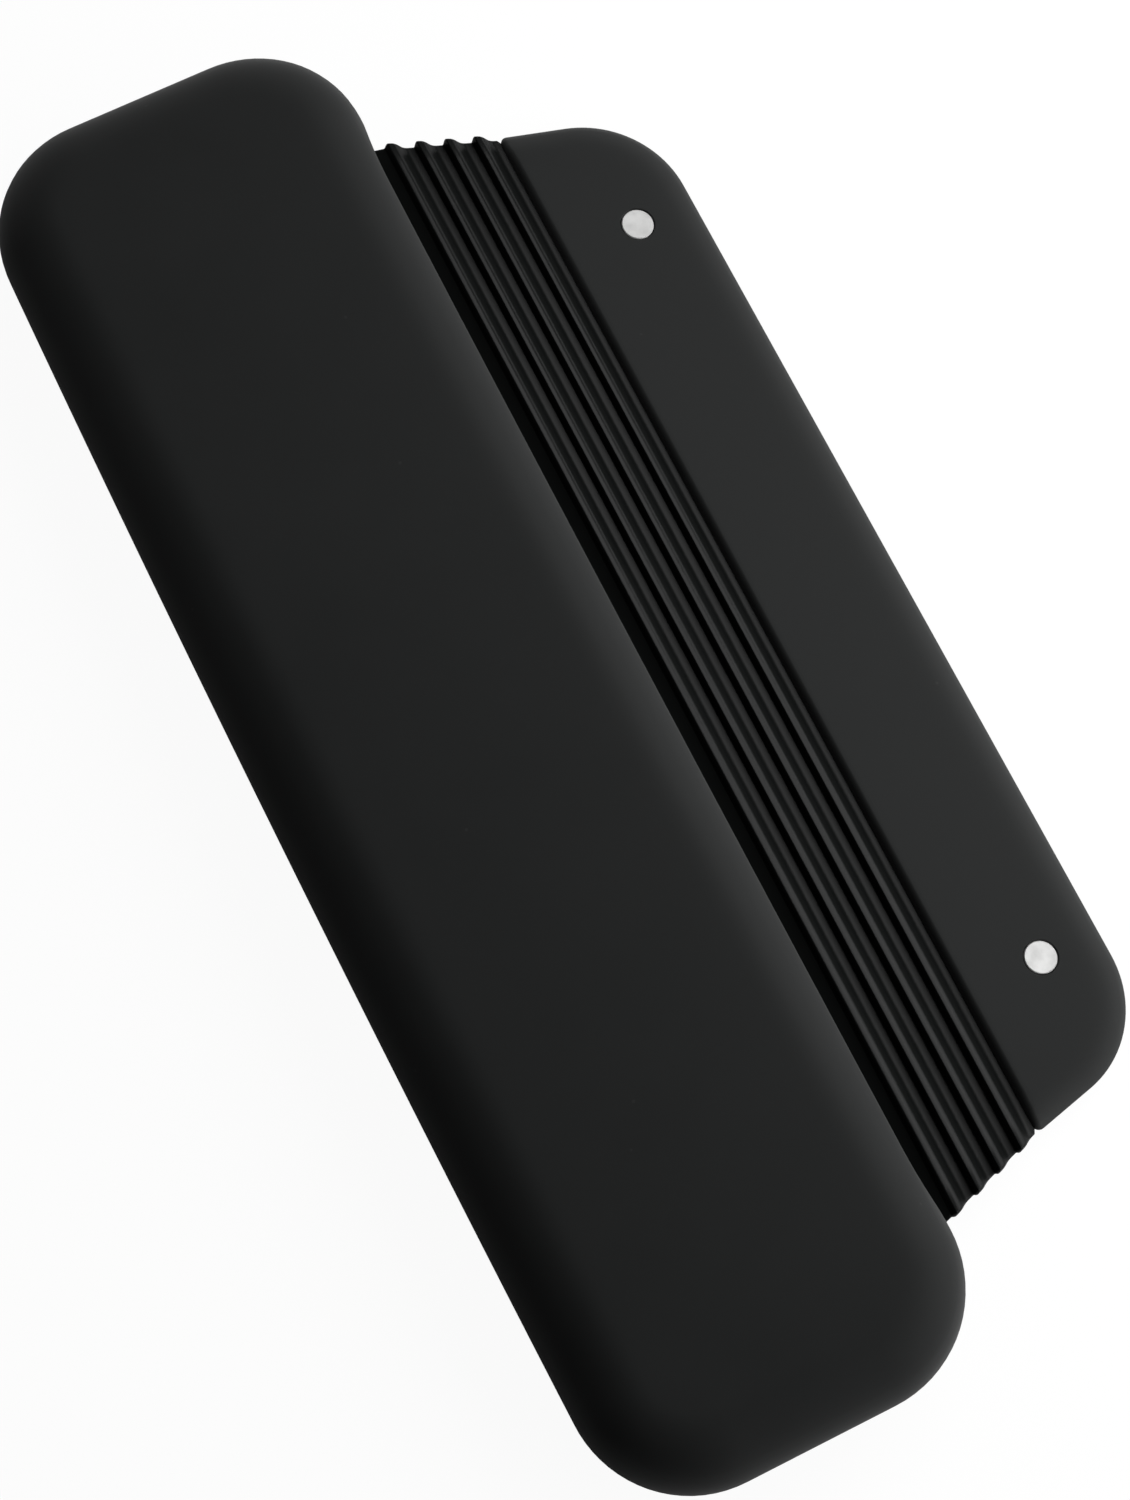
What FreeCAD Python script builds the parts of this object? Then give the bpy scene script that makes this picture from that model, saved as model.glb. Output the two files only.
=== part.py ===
import FreeCAD, Part
import Sketcher
import math
import os

# Soft moulded travel case for toothbrushes: a pillow-shaped pocket lying on its back with its mouth along the
# +X side, a ribbed fold strip hinged below the mouth, and a magnetic flap panel that folds over the front.
# Frame: +Z up out of the front face, +X towards the flap, +Y along the case. The origin is the centre of the
# flat back face. Lengths are millimetres, angles are degrees.

sizes = {
    # Pocket
    "pocket_length": 250.0,
    "pocket_width": 65.4,
    "pocket_thickness": 24.0,
    "wall": 2.2,
    "side_flat": 1.2,
    "corner_radius": 19.8,
    # Mouth in the +X side
    "mouth_end_clearance": 0.6,
    "mouth_corner_radius": 3.0,
    "lip_drop": 5.6,
    "lip_edge_radius": 0.6,
    # Fold line below the mouth
    "root_reach": 0.3,
    "root_height": 6.1,
    "droop_angle": 6.5,
    # Ribbed strip
    "web_thickness": 1.2,
    "fold_clearance": 0.4,
    "rib_pitch": 4.81,
    "rib_lead": 1.345,
    "rib_crest_radius": 0.75,
    "rib_valley_radius": 0.7,
    "flap_corner_margin": 1.6,
    "strip_end_inset": 7.0,
    # Flap panel
    "panel_setback": 1.715,
    "panel_width": 25.3,
    "panel_thickness": 2.6,
    "panel_side_inset": 6.1,
    "panel_corner_radius": 18.4,
    "panel_edge_radius": 1.0,
    # Magnets
    "magnet_diameter": 5.6,
    "magnet_thickness": 1.5,
    "magnet_edge_chamfer": 0.15,
    "magnet_clearance": 0.06,
    "magnet_end_inset": 24.6,
    "magnet_setback": 13.7,
    # Angles of the closed flap
    "root_close_angle": 81.5,
    "rib_close_angle": 10.0,
}
rib_count = 4

doc = FreeCAD.newDocument("toothbrush_travel_case")
sheet = doc.addObject("Spreadsheet::Sheet", "Sizes")
for row, (alias, value) in enumerate(sizes.items(), start=1):
    sheet.set("A%d" % row, alias)
    sheet.set("B%d" % row, str(value))
    sheet.setAlias("B%d" % row, alias)
doc.recompute()


def size(alias):
    return float(sheet.get(alias))


# Places along the strip, measured from the root fold: each rib hangs on its own fold line

def fold_distance(index):
    return 0.0 if index == 0 else size("rib_lead") + index * size("rib_pitch")


def fold_distance_expression(index):
    return "0" if index == 0 else "(Sizes.rib_lead + %d * Sizes.rib_pitch)" % index


# The flap's root ends just short of the pocket's corners, and the strip and the panel narrow from there
root_length_expression = "(Sizes.pocket_length - 2 * Sizes.corner_radius - 2 * Sizes.flap_corner_margin)"
inner_length_expression = "(%s - 2 * Sizes.strip_end_inset)" % root_length_expression
outer_length_expression = "(%s - 2 * Sizes.panel_side_inset)" % inner_length_expression
magnet_spacing_expression = "(%s - 2 * Sizes.magnet_end_inset)" % inner_length_expression
root_length = size("pocket_length") - 2 * size("corner_radius") - 2 * size("flap_corner_margin")
inner_length = root_length - 2 * size("strip_end_inset")
outer_length = inner_length - 2 * size("panel_side_inset")
magnet_spacing = inner_length - 2 * size("magnet_end_inset")

strip_length = fold_distance(rib_count)
strip_expression = fold_distance_expression(rib_count)
step_expression = "(%s + Sizes.panel_setback)" % strip_expression
taper_expression = "(Sizes.strip_end_inset / %s)" % step_expression
droop_expression = "(Sizes.droop_angle * 1 deg)"
root_x_expression = "(Sizes.pocket_width / 2 + Sizes.root_reach)"
edge_radius_expression = "((Sizes.pocket_thickness - Sizes.side_flat) / 2)"
bead_expression = "(Sizes.web_thickness / 2)"
socket_expression = "(Sizes.web_thickness / 2 + Sizes.fold_clearance)"
face_expression = "(Sizes.panel_thickness - Sizes.web_thickness / 2)"
sill_expression = "(Sizes.root_height + Sizes.web_thickness / 2)"
lip_expression = "(Sizes.pocket_thickness - Sizes.lip_drop)"
seam_expression = "(Sizes.pocket_thickness / 2)"
mouth_length_expression = "(%s + 2 * Sizes.mouth_end_clearance)" % root_length_expression

bead_radius = size("web_thickness") / 2
socket_radius = bead_radius + size("fold_clearance")
face_level = size("panel_thickness") - bead_radius
step_distance = strip_length + size("panel_setback")
end_taper = size("strip_end_inset") / step_distance
root_x = size("pocket_width") / 2 + size("root_reach")
edge_radius = (size("pocket_thickness") - size("side_flat")) / 2
sill_height = size("root_height") + bead_radius
lip_height = size("pocket_thickness") - size("lip_drop")
seam_height = size("pocket_thickness") / 2


def strip_half_length(distance):
    return root_length / 2 - end_taper * distance


def closed_magnet_x():
    # The closed flap: each fold adds its turn, and the panel ends up flat over the front face, facing -X
    turns = [size("root_close_angle")] + [size("rib_close_angle")] * (rib_count - 1)
    heading = -size("droop_angle")
    reach = root_x
    for index, turn in enumerate(turns):
        heading += turn
        reach += (fold_distance(index + 1) - fold_distance(index)) * math.cos(math.radians(heading))
    return reach - size("panel_setback") - size("magnet_setback")


# Sketch helpers

def new_body(label):
    body = doc.addObject("PartDesign::Body", label)
    body.Label = label
    return body


def new_sketch(body, role, name, lift="0", rise="0"):
    sketch = body.newObject("Sketcher::SketchObject", name)
    plane = next(feature for feature in body.Origin.OriginFeatures if feature.Role == role)
    sketch.AttachmentSupport = [(plane, "")]
    sketch.MapMode = "FlatFace"
    sketch.setExpression("AttachmentOffset.Base.y", rise)
    sketch.setExpression("AttachmentOffset.Base.z", lift)
    return sketch


def dimension(sketch, name, expression, *constraint):
    index = sketch.addConstraint(Sketcher.Constraint(*constraint))
    sketch.renameConstraint(index, name)
    sketch.setExpression("Constraints." + name, expression)


def line(x_start, y_start, x_end, y_end):
    return Part.LineSegment(FreeCAD.Vector(x_start, y_start, 0), FreeCAD.Vector(x_end, y_end, 0))


def arc(x_centre, y_centre, radius, start, end):
    circle = Part.Circle(FreeCAD.Vector(x_centre, y_centre, 0), FreeCAD.Vector(0, 0, 1), radius)
    return Part.ArcOfCircle(circle, math.radians(start), math.radians(end))


def constrain(sketch, *constraint):
    sketch.addConstraint(Sketcher.Constraint(*constraint))


def draw_rounded_rectangle(sketch, width, height, radius,
                           width_expression, height_expression, radius_expression):
    across = width / 2 - radius
    along = height / 2 - radius
    sketch.addGeometry(line(width / 2, -along, width / 2, along))
    sketch.addGeometry(arc(across, along, radius, 0, 90))
    sketch.addGeometry(line(across, height / 2, -across, height / 2))
    sketch.addGeometry(arc(-across, along, radius, 90, 180))
    sketch.addGeometry(line(-width / 2, along, -width / 2, -along))
    sketch.addGeometry(arc(-across, -along, radius, 180, 270))
    sketch.addGeometry(line(-across, -height / 2, across, -height / 2))
    sketch.addGeometry(arc(across, -along, radius, 270, 360))
    for index in range(8):
        constrain(sketch, "Tangent", index, 2, (index + 1) % 8, 1)
    for index in (0, 4):
        constrain(sketch, "Vertical", index)
    for index in (2, 6):
        constrain(sketch, "Horizontal", index)
    for index in (3, 5, 7):
        constrain(sketch, "Equal", 1, index)
    constrain(sketch, "Symmetric", 1, 3, 5, 3, -1, 1)
    dimension(sketch, "width", width_expression, "DistanceX", 4, 1, 0, 1, width)
    dimension(sketch, "height", height_expression, "DistanceY", 6, 1, 2, 1, height)
    dimension(sketch, "corner", radius_expression, "Radius", 1, radius)


def draw_circles(sketch, x, x_expression):
    half_spacing = magnet_spacing / 2
    radius = size("magnet_diameter") / 2 + size("magnet_clearance")
    for side in (1, -1):
        centre = FreeCAD.Vector(x, side * half_spacing, 0)
        sketch.addGeometry(Part.Circle(centre, FreeCAD.Vector(0, 0, 1), radius))
    constrain(sketch, "Equal", 0, 1)
    constrain(sketch, "Symmetric", 0, 3, 1, 3, -1)
    dimension(sketch, "recess", "Sizes.magnet_diameter / 2 + Sizes.magnet_clearance", "Radius", 0, radius)
    dimension(sketch, "across", x_expression, "DistanceX", -1, 1, 0, 3, x)
    dimension(sketch, "spacing", magnet_spacing_expression, "DistanceY", 1, 3, 0, 3, magnet_spacing)


# Feature helpers

def finish(feature):
    doc.recompute()
    if not feature.isValid() or feature.Shape.isNull():
        raise RuntimeError("%s failed: %s" % (feature.Name, feature.getStatusString()))
    return feature


def pad(body, sketch, name, expression, midplane=False, reverse=False):
    feature = body.newObject("PartDesign::Pad", name)
    feature.Profile = sketch
    feature.Midplane = midplane
    feature.Reversed = reverse
    feature.setExpression("Length", expression)
    return finish(feature)


def pocket(body, sketch, name, expression, midplane=False, reverse=False):
    before = body.Shape.Volume
    feature = body.newObject("PartDesign::Pocket", name)
    feature.Profile = sketch
    feature.Midplane = midplane
    feature.Reversed = reverse
    feature.setExpression("Length", expression)
    finish(feature)
    if feature.Shape.Volume > before - 0.01:
        raise RuntimeError("pocket %s removed nothing" % name)
    return feature


def round_edges(body, base, name, expression, wanted):
    names = []
    for index, edge in enumerate(base.Shape.Edges, start=1):
        if wanted(edge):
            names.append("Edge%d" % index)
    feature = body.newObject("PartDesign::Fillet", name)
    feature.Base = (base, names)
    feature.setExpression("Radius", expression)
    return finish(feature)


def hollow_out(body, base, name, expression, open_level):
    # Leaves an even wall inside the solid and opens the face that lies at one level
    names = []
    for index, face in enumerate(base.Shape.Faces, start=1):
        if lies_at(face, open_level):
            names.append("Face%d" % index)
    before = base.Shape.BoundBox.DiagonalLength
    feature = body.newObject("PartDesign::Thickness", name)
    feature.Base = (base, names)
    feature.Reversed = True
    feature.setExpression("Value", expression)
    finish(feature)
    if feature.Shape.BoundBox.DiagonalLength > before + 0.01:
        raise RuntimeError("%s grew outwards" % name)
    return feature


def lies_at(piece, level):
    box = piece.BoundBox
    return abs(box.ZMin - level) < 1e-4 and abs(box.ZMax - level) < 1e-4


# Pocket shells: the moulding parts at half its thickness, where front and back meet face to face

def draw_pocket_outline(sketch):
    draw_rounded_rectangle(
        sketch,
        size("pocket_width"),
        size("pocket_length"),
        size("corner_radius"),
        "Sizes.pocket_width",
        "Sizes.pocket_length",
        "Sizes.corner_radius")


def cut_mouth(body):
    mouth = new_sketch(body, "YZ_Plane", body.Label + "_mouth",
                       lift="Sizes.pocket_width / 2 - %s" % edge_radius_expression,
                       rise="(%s + %s) / 2" % (sill_expression, lip_expression))
    draw_rounded_rectangle(
        mouth,
        root_length + 2 * size("mouth_end_clearance"),
        lip_height - sill_height,
        size("mouth_corner_radius"),
        mouth_length_expression,
        "%s - %s" % (lip_expression, sill_expression),
        "Sizes.mouth_corner_radius")
    return pocket(body, mouth, body.Label + "_mouth_cut", "2 * %s" % edge_radius_expression, reverse=True)


def make_back_shell():
    body = new_body("back_shell")
    outline = new_sketch(body, "XY_Plane", "back_outline")
    draw_pocket_outline(outline)
    block = pad(body, outline, "back_block", seam_expression)
    rounded = round_edges(body, block, "back_edge", edge_radius_expression,
                          lambda edge: lies_at(edge, 0.0))
    hollow_out(body, rounded, "back_hollow", "Sizes.wall", seam_height)
    cut_mouth(body)
    make_sill(body)
    return body


def make_sill(body):
    # Short ledge from the side wall out to the root fold, ending in a socket round the fold line
    tip = math.sqrt(socket_radius ** 2 - bead_radius ** 2)
    opening = math.degrees(math.asin(bead_radius / socket_radius))
    seat = size("pocket_width") / 2 - edge_radius / 4
    profile = new_sketch(body, "XZ_Plane", "sill_profile")
    top = sill_height
    under = size("root_height") - bead_radius
    profile.addGeometry(arc(root_x, size("root_height"), socket_radius, 180 - opening, 180 + opening))
    profile.addGeometry(line(root_x - tip, under, seat, under))
    profile.addGeometry(line(seat, under, seat, top))
    profile.addGeometry(line(seat, top, root_x - tip, top))
    for index in range(4):
        constrain(profile, "Coincident", index, 2, (index + 1) % 4, 1)
    for index in (1, 3):
        constrain(profile, "Horizontal", index)
    constrain(profile, "Vertical", 2)
    dimension(profile, "socket", socket_expression, "Radius", 0, socket_radius)
    dimension(profile, "fold_x", root_x_expression, "DistanceX", -1, 1, 0, 3, root_x)
    dimension(profile, "fold_z", "Sizes.root_height", "DistanceY", -1, 1, 0, 3, size("root_height"))
    dimension(profile, "top_z", sill_expression, "DistanceY", -1, 1, 2, 2, top)
    dimension(profile, "thickness", "Sizes.web_thickness", "DistanceY", 2, 1, 2, 2, 2 * bead_radius)
    dimension(profile, "seat_x", "Sizes.pocket_width / 2 - %s / 4" % edge_radius_expression,
              "DistanceX", -1, 1, 2, 1, seat)
    return pad(body, profile, "sill", root_length_expression, midplane=True)


def make_front_shell():
    body = new_body("front_shell")
    outline = new_sketch(body, "XY_Plane", "front_outline", lift="Sizes.pocket_thickness")
    draw_pocket_outline(outline)
    block = pad(body, outline, "front_block", seam_expression, reverse=True)
    face_height = size("pocket_thickness")
    rounded = round_edges(body, block, "front_edge", edge_radius_expression,
                          lambda edge: lies_at(edge, face_height))
    hollow_out(body, rounded, "front_hollow", "Sizes.wall", seam_height)
    mouth = cut_mouth(body)
    round_edges(body, mouth, "front_lip", "Sizes.lip_edge_radius",
                lambda edge: lies_at(edge, lip_height) and edge.BoundBox.YLength > size("pocket_length") / 2)
    recess = new_sketch(body, "XY_Plane", "front_recess", lift="Sizes.pocket_thickness - Sizes.wall")
    draw_circles(recess, closed_magnet_x(), "%.6f" % closed_magnet_x())
    pocket(body, recess, "front_magnet_recess", "Sizes.magnet_thickness", reverse=True)
    return body


# Ribbed strip: each rib is one strip with a rounded bead on its fold line and a socket for the next bead

def place_on_strip(body, index):
    distance = fold_distance_expression(index)
    body.Placement = FreeCAD.Placement(FreeCAD.Vector(), FreeCAD.Rotation(FreeCAD.Vector(0, 1, 0), 1.0))
    body.setExpression("Placement.Base.x", "%s + %s * cos(%s)" % (
        root_x_expression, distance, droop_expression))
    body.setExpression("Placement.Base.z", "Sizes.root_height - %s * sin(%s)" % (distance, droop_expression))
    body.setExpression("Placement.Rotation.Angle", "Sizes.droop_angle")


def cut_tapered_ends(body, start, start_expression, reach, reach_expression):
    # Both ends follow one slanted line, so the flap narrows evenly from its root
    plan = new_sketch(body, "XY_Plane", body.Label + "_ends")
    margin = size("rib_pitch")
    near = strip_half_length(start - margin)
    far = strip_half_length(start + reach + margin)
    beyond = root_length
    near_expression = "%s / 2 - %s * (%s - Sizes.rib_pitch)" % (
        root_length_expression, taper_expression, start_expression)
    far_expression = "%s / 2 - %s * (%s + %s + Sizes.rib_pitch)" % (
        root_length_expression, taper_expression, start_expression, reach_expression)
    for loop, side in enumerate((1, -1)):
        first = 4 * loop
        plan.addGeometry(line(-margin, side * near, reach + margin, side * far))
        plan.addGeometry(line(reach + margin, side * far, reach + margin, side * beyond))
        plan.addGeometry(line(reach + margin, side * beyond, -margin, side * beyond))
        plan.addGeometry(line(-margin, side * beyond, -margin, side * near))
        for index in range(4):
            constrain(plan, "Coincident", first + index, 2, first + (index + 1) % 4, 1)
        constrain(plan, "Vertical", first + 1)
        constrain(plan, "Horizontal", first + 2)
        constrain(plan, "Vertical", first + 3)
        dimension(plan, "start_%d" % loop, "-Sizes.rib_pitch", "DistanceX", -1, 1, first, 1, -margin)
        dimension(plan, "reach_%d" % loop, "%s + Sizes.rib_pitch" % reach_expression,
                  "DistanceX", -1, 1, first, 2, reach + margin)
        dimension(plan, "near_%d" % loop, "%d * (%s)" % (side, near_expression),
                  "DistanceY", -1, 1, first, 1, side * near)
        dimension(plan, "far_%d" % loop, "%d * (%s)" % (side, far_expression),
                  "DistanceY", -1, 1, first, 2, side * far)
        dimension(plan, "beyond_%d" % loop, "%d * %s" % (side, root_length_expression),
                  "DistanceY", -1, 1, first + 2, 1, side * beyond)
    return pocket(body, plan, body.Label + "_end_cut", "4 * Sizes.panel_thickness", midplane=True)


def draw_rib_profile(sketch, length, length_expression):
    crest_radius = size("rib_crest_radius")
    valley_radius = size("rib_valley_radius")
    crest_x = length - size("rib_pitch") / 2
    crest_z = face_level - crest_radius
    valley_z = bead_radius + valley_radius
    spread = math.sqrt((crest_radius + valley_radius) ** 2 - (crest_z - valley_z) ** 2)
    lean = math.degrees(math.atan2(valley_z - crest_z, spread))
    tip = math.sqrt(socket_radius ** 2 - bead_radius ** 2)
    opening = math.degrees(math.asin(bead_radius / socket_radius))
    sketch.addGeometry(arc(0, 0, bead_radius, 90, 270))
    sketch.addGeometry(line(0, -bead_radius, length - tip, -bead_radius))
    sketch.addGeometry(arc(length, 0, socket_radius, 180 - opening, 180 + opening))
    sketch.addGeometry(line(length - tip, bead_radius, crest_x + spread, bead_radius))
    sketch.addGeometry(arc(crest_x + spread, valley_z, valley_radius, 180 + lean, 270))
    sketch.addGeometry(arc(crest_x, crest_z, crest_radius, lean, 180 - lean))
    sketch.addGeometry(arc(crest_x - spread, valley_z, valley_radius, 270, 360 - lean))
    sketch.addGeometry(line(crest_x - spread, bead_radius, 0, bead_radius))
    constrain(sketch, "Tangent", 0, 2, 1, 1)
    constrain(sketch, "Coincident", 1, 2, 2, 2)
    constrain(sketch, "Coincident", 2, 1, 3, 1)
    constrain(sketch, "Tangent", 3, 2, 4, 2)
    constrain(sketch, "Tangent", 4, 1, 5, 1)
    constrain(sketch, "Tangent", 5, 2, 6, 2)
    constrain(sketch, "Tangent", 6, 1, 7, 1)
    constrain(sketch, "Tangent", 7, 2, 0, 1)
    constrain(sketch, "Coincident", 0, 3, -1, 1)
    for index in (1, 3, 7):
        constrain(sketch, "Horizontal", index)
    constrain(sketch, "PointOnObject", 2, 3, -1)
    constrain(sketch, "Symmetric", 2, 1, 2, 2, -1)
    constrain(sketch, "Equal", 4, 6)
    dimension(sketch, "bead", bead_expression, "Radius", 0, bead_radius)
    dimension(sketch, "socket", socket_expression, "Radius", 2, socket_radius)
    dimension(sketch, "strip", length_expression, "DistanceX", 0, 3, 2, 3, length)
    dimension(sketch, "crest", "Sizes.rib_crest_radius", "Radius", 5, crest_radius)
    dimension(sketch, "valley", "Sizes.rib_valley_radius", "Radius", 4, valley_radius)
    dimension(sketch, "half_pitch", "Sizes.rib_pitch / 2", "DistanceX", 5, 3, 2, 3, size("rib_pitch") / 2)
    dimension(sketch, "crest_z", "%s - Sizes.rib_crest_radius" % face_expression,
              "DistanceY", 0, 3, 5, 3, crest_z)


def make_rib(index):
    body = new_body("rib_%d" % (index + 1))
    start = fold_distance(index)
    length = fold_distance(index + 1) - start
    start_expression = fold_distance_expression(index)
    length_expression = "(%s - %s)" % (fold_distance_expression(index + 1), start_expression)
    profile = new_sketch(body, "XZ_Plane", body.Label + "_profile")
    draw_rib_profile(profile, length, length_expression)
    width_expression = "%s + 4 * Sizes.strip_end_inset" % root_length_expression
    pad(body, profile, body.Label + "_strip", width_expression, midplane=True)
    cut_tapered_ends(body, start, start_expression, length, length_expression)
    place_on_strip(body, index)
    return body


# Flap panel

def draw_panel_plan(sketch):
    near = size("panel_setback")
    far = near + size("panel_width")
    inner = inner_length / 2
    outer = outer_length / 2
    radius = size("panel_corner_radius")
    slant = math.atan2(size("panel_side_inset"), size("panel_width"))
    turn = math.pi / 2 - slant
    centre_x = far - radius
    tangent = radius * math.tan(turn / 2)
    centre_y = outer - tangent
    side_x = centre_x + radius * math.sin(slant)
    side_y = centre_y + radius * math.cos(slant)
    lean = 90 - math.degrees(slant)
    sketch.addGeometry(line(near, inner, near, -inner))
    sketch.addGeometry(line(near, -inner, side_x, -side_y))
    sketch.addGeometry(arc(centre_x, -centre_y, radius, -lean, 0))
    sketch.addGeometry(line(far, -centre_y, far, centre_y))
    sketch.addGeometry(arc(centre_x, centre_y, radius, 0, lean))
    sketch.addGeometry(line(side_x, side_y, near, inner))
    constrain(sketch, "Coincident", 0, 2, 1, 1)
    constrain(sketch, "Tangent", 1, 2, 2, 1)
    constrain(sketch, "Tangent", 2, 2, 3, 1)
    constrain(sketch, "Tangent", 3, 2, 4, 1)
    constrain(sketch, "Tangent", 4, 2, 5, 1)
    constrain(sketch, "Coincident", 5, 2, 0, 1)
    constrain(sketch, "Symmetric", 0, 1, 0, 2, -1)
    constrain(sketch, "Symmetric", 2, 3, 4, 3, -1)
    constrain(sketch, "Equal", 2, 4)
    centre_expression = "%s / 2 - Sizes.panel_corner_radius * tan((90 deg - %s) / 2)" % (
        outer_length_expression, "atan(Sizes.panel_side_inset / Sizes.panel_width)")
    dimension(sketch, "setback", "Sizes.panel_setback", "DistanceX", -1, 1, 0, 1, near)
    dimension(sketch, "inner", inner_length_expression, "DistanceY", 0, 2, 0, 1, inner_length)
    dimension(sketch, "far", "Sizes.panel_setback + Sizes.panel_width", "DistanceX", -1, 1, 3, 1, far)
    dimension(sketch, "corner", "Sizes.panel_corner_radius", "Radius", 2, radius)
    dimension(sketch, "centre", centre_expression, "DistanceY", -1, 1, 4, 3, centre_y)


def draw_panel_web(sketch):
    # Thin web with the last fold's bead, running on under the panel
    reach = size("panel_setback") + size("panel_thickness")
    sketch.addGeometry(arc(0, 0, bead_radius, 90, 270))
    sketch.addGeometry(line(0, -bead_radius, reach, -bead_radius))
    sketch.addGeometry(line(reach, -bead_radius, reach, bead_radius))
    sketch.addGeometry(line(reach, bead_radius, 0, bead_radius))
    constrain(sketch, "Tangent", 0, 2, 1, 1)
    constrain(sketch, "Coincident", 1, 2, 2, 1)
    constrain(sketch, "Coincident", 2, 2, 3, 1)
    constrain(sketch, "Tangent", 3, 2, 0, 1)
    constrain(sketch, "Coincident", 0, 3, -1, 1)
    constrain(sketch, "Horizontal", 1)
    constrain(sketch, "Vertical", 2)
    dimension(sketch, "bead", bead_expression, "Radius", 0, bead_radius)
    dimension(sketch, "reach", "Sizes.panel_setback + Sizes.panel_thickness", "DistanceX", -1, 1, 2, 1, reach)


def make_flap_panel():
    body = new_body("flap_panel")
    plan = new_sketch(body, "XY_Plane", "panel_plan", lift="-Sizes.web_thickness / 2")
    draw_panel_plan(plan)
    plate = pad(body, plan, "panel_plate", "Sizes.panel_thickness")
    round_edges(body, plate, "panel_edge", "Sizes.panel_edge_radius", is_panel_rim)
    web = new_sketch(body, "XZ_Plane", "panel_web_profile")
    draw_panel_web(web)
    pad(body, web, "panel_web", "%s - 2 * Sizes.panel_edge_radius" % inner_length_expression, midplane=True)
    recess = new_sketch(body, "XY_Plane", "panel_recess", lift=face_expression)
    setback = size("panel_setback") + size("magnet_setback")
    draw_circles(recess, setback, "Sizes.panel_setback + Sizes.magnet_setback")
    pocket(body, recess, "panel_magnet_recess", "Sizes.magnet_thickness")
    place_on_strip(body, rib_count)
    return body


def is_panel_rim(edge):
    # The face's whole rim, and the underside's rim away from the web
    on_underside = lies_at(edge, -bead_radius) and edge.BoundBox.XMax > size("panel_setback") + 0.01
    return lies_at(edge, face_level) or on_underside


# Magnets

def make_magnet(label):
    body = new_body(label)
    outline = new_sketch(body, "XY_Plane", label + "_outline")
    radius = size("magnet_diameter") / 2
    outline.addGeometry(Part.Circle(FreeCAD.Vector(), FreeCAD.Vector(0, 0, 1), radius))
    constrain(outline, "Coincident", 0, 3, -1, 1)
    dimension(outline, "diameter", "Sizes.magnet_diameter", "Diameter", 0, 2 * radius)
    disc = pad(body, outline, label + "_disc", "Sizes.magnet_thickness")
    chamfer = body.newObject("PartDesign::Chamfer", label + "_edge")
    chamfer.Base = (disc, ["Edge%d" % (index + 1) for index, edge in enumerate(disc.Shape.Edges)
                           if lies_at(edge, 0.0) or lies_at(edge, size("magnet_thickness"))])
    chamfer.setExpression("Size", "Sizes.magnet_edge_chamfer")
    finish(chamfer)
    return body


def make_flap_magnet(label, side):
    body = make_magnet(label)
    along = "(%s + Sizes.panel_setback + Sizes.magnet_setback)" % strip_expression
    lift = "(%s - Sizes.magnet_thickness)" % face_expression
    body.Placement = FreeCAD.Placement(FreeCAD.Vector(), FreeCAD.Rotation(FreeCAD.Vector(0, 1, 0), 1.0))
    body.setExpression("Placement.Base.x", "%s + %s * cos(%s) + %s * sin(%s)" % (
        root_x_expression, along, droop_expression, lift, droop_expression))
    body.setExpression("Placement.Base.y", "%d * %s / 2" % (side, magnet_spacing_expression))
    body.setExpression("Placement.Base.z", "Sizes.root_height - %s * sin(%s) + %s * cos(%s)" % (
        along, droop_expression, lift, droop_expression))
    body.setExpression("Placement.Rotation.Angle", "Sizes.droop_angle")
    return body


def make_wall_magnet(label, side):
    body = make_magnet(label)
    body.setExpression("Placement.Base.x", "%.6f" % closed_magnet_x())
    body.setExpression("Placement.Base.y", "%d * %s / 2" % (side, magnet_spacing_expression))
    body.setExpression("Placement.Base.z", "Sizes.pocket_thickness - Sizes.wall")
    return body


parts = [make_back_shell(), make_front_shell()]
for rib_index in range(rib_count):
    parts.append(make_rib(rib_index))
parts.append(make_flap_panel())
for end, side in (("top", 1), ("bottom", -1)):
    parts.append(make_flap_magnet("flap_magnet_" + end, side))
    parts.append(make_wall_magnet("wall_magnet_" + end, side))
doc.recompute()

for thing in doc.Objects:
    if "Invalid" in thing.State or "Error" in thing.State:
        raise RuntimeError("%s failed: %s" % (thing.Name, thing.State))
    if thing.TypeId == "Sketcher::SketchObject" and thing.solve() != 0:
        raise RuntimeError("sketch %s does not solve" % thing.Name)
for body in parts:
    if body.Shape.isNull() or not body.Shape.isValid() or len(body.Shape.Solids) != 1:
        raise RuntimeError("%s is not one valid solid" % body.Label)

os.makedirs("parts", exist_ok=True)
for body in parts:
    body.Shape.exportStep("parts/%s.step" % body.Label)
    print("%-18s %9.1f mm3" % (body.Label, body.Shape.Volume))
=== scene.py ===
import math

import bmesh
import bpy
import numpy as np
from mathutils import Matrix, Vector
from mathutils.geometry import delaunay_2d_cdt


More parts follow.
